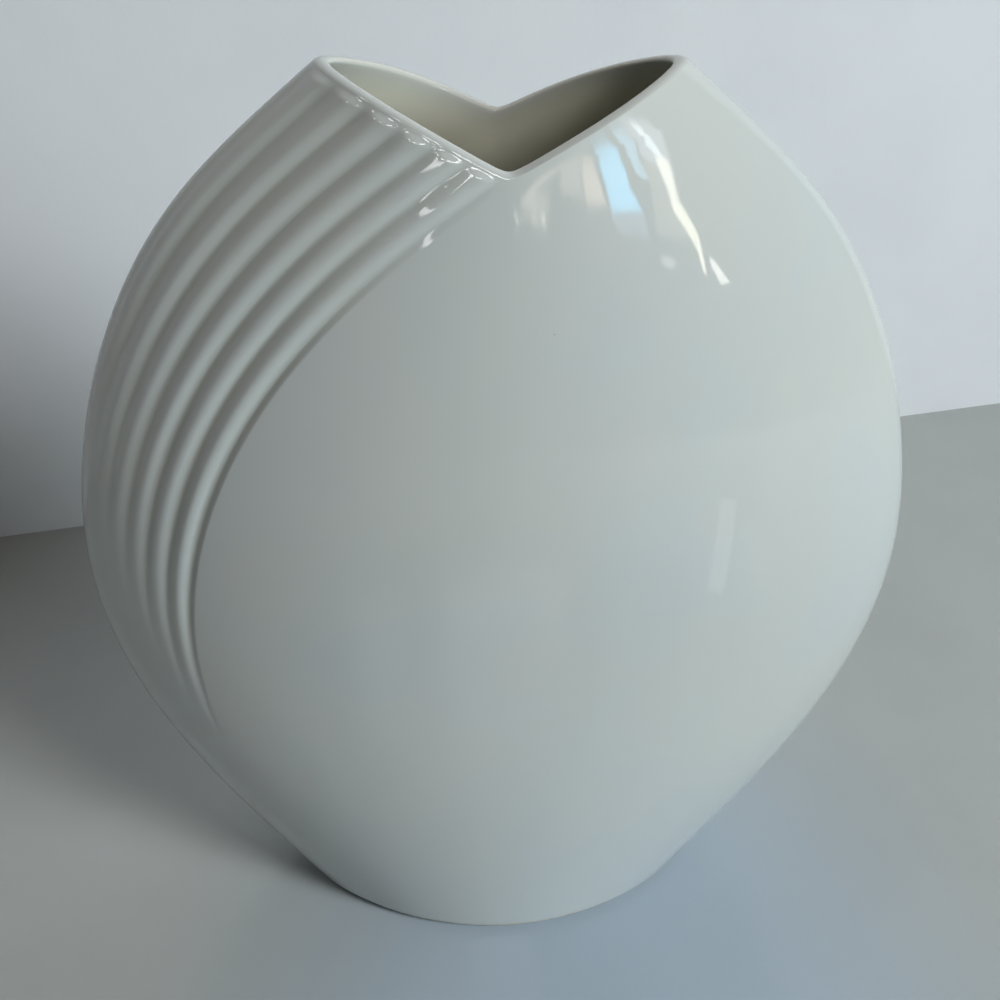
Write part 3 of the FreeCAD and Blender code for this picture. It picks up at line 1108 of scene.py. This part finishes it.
@dataclass(frozen=True)
class Lamp:
    """A square flat light, aimed at the vase. Angles are degrees, size and distance metres."""

    name: str
    azimuth: float
    elevation: float
    distance: float
    side: float
    colour: Colour
    glow: float

    def build(self) -> None:
        """Hang the light where the glaze doesn't mirror it."""
        back = toward(self.azimuth, self.elevation)
        data = bpy.data.lights.new(self.name, "AREA")
        data.shape = "SQUARE"
        data.size = self.side
        data.color = self.colour
        data.energy = self.glow * math.pi * self.side**2
        lamp = bpy.data.objects.new(self.name, data)
        place = Matrix.Translation(back * self.distance + Vector((0.0, 0.0, AIM_HEIGHT)))
        lamp.matrix_world = place @ back.to_track_quat("Z", "Y").to_matrix().to_4x4()
        lamp.visible_camera = False
        lamp.visible_glossy = False
        bpy.context.scene.collection.objects.link(lamp)


@dataclass(frozen=True)
class GlowCard:
    """A small glowing sheet that only the glaze and the table mirror, such as a window pane.

    Its corners are (azimuth, elevation) in degrees on a ball round the vase: the upper left one,
    the upper right, the lower right and the lower left, as the glaze shows them.
    """

    name: str
    corners: Pairs
    colour: Colour
    glow: float
    ball: float = MAIN_BALL

    def build(self) -> None:
        """Hang the sheet, unseen by the camera."""
        deselect_all()
        bpy.ops.mesh.primitive_plane_add(size=1.0)
        card = bpy.context.object
        card.name = card.data.name = self.name
        middle = Vector((0.0, 0.0, AIM_HEIGHT))
        places = [middle + toward(*corner) * self.ball for corner in self.corners]
        upper_left, upper_right, lower_right, lower_left = places
        for vertex, place in zip(card.data.vertices, (lower_left, lower_right, upper_left, upper_right)):
            vertex.co = place
        glow = Recipe(self.name)
        glow.set(
            Base_Color=(0.0, 0.0, 0.0),
            Specular_IOR_Level=0.0,
            Emission_Color=self.colour,
            Emission_Strength=self.glow,
        )
        dress(card, glow.material)
        card.visible_camera = False
        card.visible_diffuse = False
        card.visible_shadow = False
        card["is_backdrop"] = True


def tip_gleams() -> tuple[GlowCard, ...]:
    """The bright patches that the ends of the ridges mirror as small loops."""
    patches = (
        (-69.5, -63.5, 42.0, 48.0, 9.0),
        (-46.0, -39.0, 38.0, 46.0, 9.0),
        (-27.0, -17.0, 26.0, 36.0, 12.0),
        (-9.0, 2.0, 24.0, 36.0, 14.0),
        (4.0, 15.0, 22.0, 34.0, 14.0),
    )
    gleams = []
    for number, (left, right, low, high, glow) in enumerate(patches, 1):
        square = (left, high), (right, high), (right, low), (left, low)
        gleams.append(GlowCard(f"tip_gleam_{number}", square, WHITE, glow))
    return tuple(gleams)


@dataclass
class Light:
    """Window light from the right, mirrored in panes and strips, and a dim warm room."""

    lamps: tuple[Lamp, ...] = (
        Lamp("window_low", 57.0, 18.0, 1.5, 0.4, (0.86, 0.98, 1.0), 19.0),
        Lamp("window_high", 42.0, 36.0, 1.5, 0.4, (1.0, 1.0, 0.98), 17.0),
        Lamp("top_fill", -60.0, 65.0, 1.4, 0.6, (1.0, 0.60, 0.25), 0.5),
    )
    cards: tuple[GlowCard, ...] = (
        GlowCard("sky_pane", ((36.3, 16.8), (44.3, 19.7), (40.6, 14.7), (33.3, 13.1)),
                 (0.22, 0.66, 1.0), 11.0),
        GlowCard("pane_sliver", ((47.2, 21.3), (52.8, 23.4), (47.7, 18.9), (46.3, 18.5)),
                 (0.40, 0.75, 1.0), 6.0, NEAR_BALL),
        GlowCard("gap_top", ((56.3, 24.7), (59.3, 25.8), (57.0, 23.2), (55.0, 22.4)),
                 (0.85, 0.95, 1.0), 10.0, NEAR_BALL),
        GlowCard("gap_middle", ((54.1, 22.2), (58.3, 23.6), (52.2, 18.0), (50.1, 17.4)),
                 (1.0, 0.96, 0.82), 11.0, NEAR_BALL),
        GlowCard("gap_low", ((50.2, 17.6), (52.7, 18.3), (49.9, 11.8), (49.0, 11.7)),
                 (1.0, 0.95, 0.76), 11.0, NEAR_BALL),
        GlowCard("gap_strand", ((52.0, 13.1), (53.0, 13.3), (53.8, 11.3), (52.2, 11.1)),
                 (1.0, 0.98, 0.92), 9.0, NEAR_BALL),
        GlowCard("curtain", ((52.9, 23.5), (64.8, 27.5), (55.7, 21.0), (51.6, 21.2)),
                 (0.85, 0.85, 1.0), 3.5, FAR_BALL),
        GlowCard("beige", ((50.0, 20.8), (53.0, 21.4), (51.4, 14.6), (42.3, 13.4)),
                 BEIGE, 1.6, FAR_BALL),
        GlowCard("brick_near", ((29.9, 14.8), (34.2, 15.9), (32.5, 13.3), (26.5, 12.0)),
                 (1.0, 0.78, 0.64), 5.4),
        GlowCard("brick_veil", ((20.8, 12.7), (29.9, 14.8), (26.1, 12.2), (20.1, 11.4)),
                 BEIGE, 2.6, FAR_BALL),
        GlowCard("far_slope", ((19.8, 12.5), (22.4, 12.8), (9.6, 10.0), (7.0, 10.0)),
                 (1.0, 0.90, 0.78), 5.0),
        GlowCard("far_glow", ((9.1, 10.1), (17.2, 10.9), (13.9, 9.6), (5.5, 9.4)),
                 (1.0, 0.93, 0.78), 2.8, FAR_BALL),
        GlowCard("sill", ((33.0, 12.9), (41.3, 14.8), (40.2, 12.8), (33.7, 11.7)),
                 (0.70, 0.75, 1.0), 1.8, FAR_BALL),
        GlowCard("glint", ((41.4, 11.7), (44.4, 12.1), (44.1, 11.8), (41.3, 11.5)), WHITE, 9.0),
        GlowCard("spark_near", ((12.9, 9.95), (14.2, 10.00), (14.2, 9.83), (12.9, 9.78)),
                 CANDLE, 13.0, NEAR_BALL),
        GlowCard("spark_middle", ((10.4, 9.84), (12.0, 9.90), (12.0, 9.76), (10.6, 9.70)),
                 CANDLE, 10.0, NEAR_BALL),
        GlowCard("spark_far", ((5.0, 9.66), (6.2, 9.68), (6.0, 9.54), (4.9, 9.50)),
                 CANDLE, 13.0, NEAR_BALL),
        *tip_gleams(),
        GlowCard("rib_line", ((-46.0, 32.7), (-45.3, 33.6), (-18.2, 12.9), (-19.0, 11.9)), WHITE, 8.0),
        GlowCard("table_streak", ((46.6, -7.9), (49.5, -7.9), (49.1, -30.5), (45.9, -30.8)),
                 (1.0, 1.0, 0.96), 1.2, TABLE_BALL),
        GlowCard("table_patch", ((34.0, -31.0), (47.0, -28.7), (46.0, -33.5), (33.0, -35.0)),
                 (0.50, 0.80, 1.0), 1.0, TABLE_BALL),
    )
    room: Colour = (1.0, 0.90, 0.72)
    room_strength: float = 0.02
    backdrop: Colour = (0.60, 0.62, 0.64)

    def build(self) -> None:
        """Hang the lamps and the sheets and set the world, grey where the camera sees it."""
        for light in (*self.lamps, *self.cards):
            light.build()
        world = bpy.data.worlds.new("room")
        world.use_nodes = True
        tree = world.node_tree
        glow = tree.nodes["Background"]
        glow.inputs["Color"].default_value = (*self.room, 1.0)
        glow.inputs["Strength"].default_value = self.room_strength
        backdrop = tree.nodes.new("ShaderNodeBackground")
        backdrop.inputs["Color"].default_value = (*self.backdrop, 1.0)
        seen = tree.nodes.new("ShaderNodeLightPath").outputs["Is Camera Ray"]
        either = tree.nodes.new("ShaderNodeMixShader")
        tree.links.new(seen, either.inputs[0])
        tree.links.new(glow.outputs[0], either.inputs[1])
        tree.links.new(backdrop.outputs[0], either.inputs[2])
        tree.links.new(either.outputs[0], tree.nodes["World Output"].inputs["Surface"])
        bpy.context.scene.world = world


def dress(piece: bpy.types.Object, material: bpy.types.Material) -> None:
    """Give a piece one material all over."""
    piece.data.materials.clear()
    piece.data.materials.append(material)


def corners() -> list[list[float]]:
    """Lowest and highest corner of what is shown, as plain lists."""
    return [list(corner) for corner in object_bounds()]


def main() -> None:
    """Build the vase, its stage, light and camera in order."""
    logging.basicConfig(level=logging.INFO, format="%(name)s: %(message)s")
    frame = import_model()
    form = VaseForm()
    skin = GlazedSkin(form, ColumnPlan(form, Fluting()))
    coat = skin.build("vase_glaze")
    dress(coat, GlazeFinish().make())
    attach(coat, "root")
    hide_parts("glaze_coat")
    LOG.info("glaze coat: %d faces", len(coat.data.polygons))
    body = frame["nodes"]["porcelain_body"]
    dress(body, BiscuitFinish().make())
    LOG.info("porcelain body: the frame's own node, dressed")
    Stage().build()
    Light().build()
    PhotoCamera().place()
    bpy.context.scene.view_settings.view_transform = "Standard"


if __name__ == "__main__":
    main()
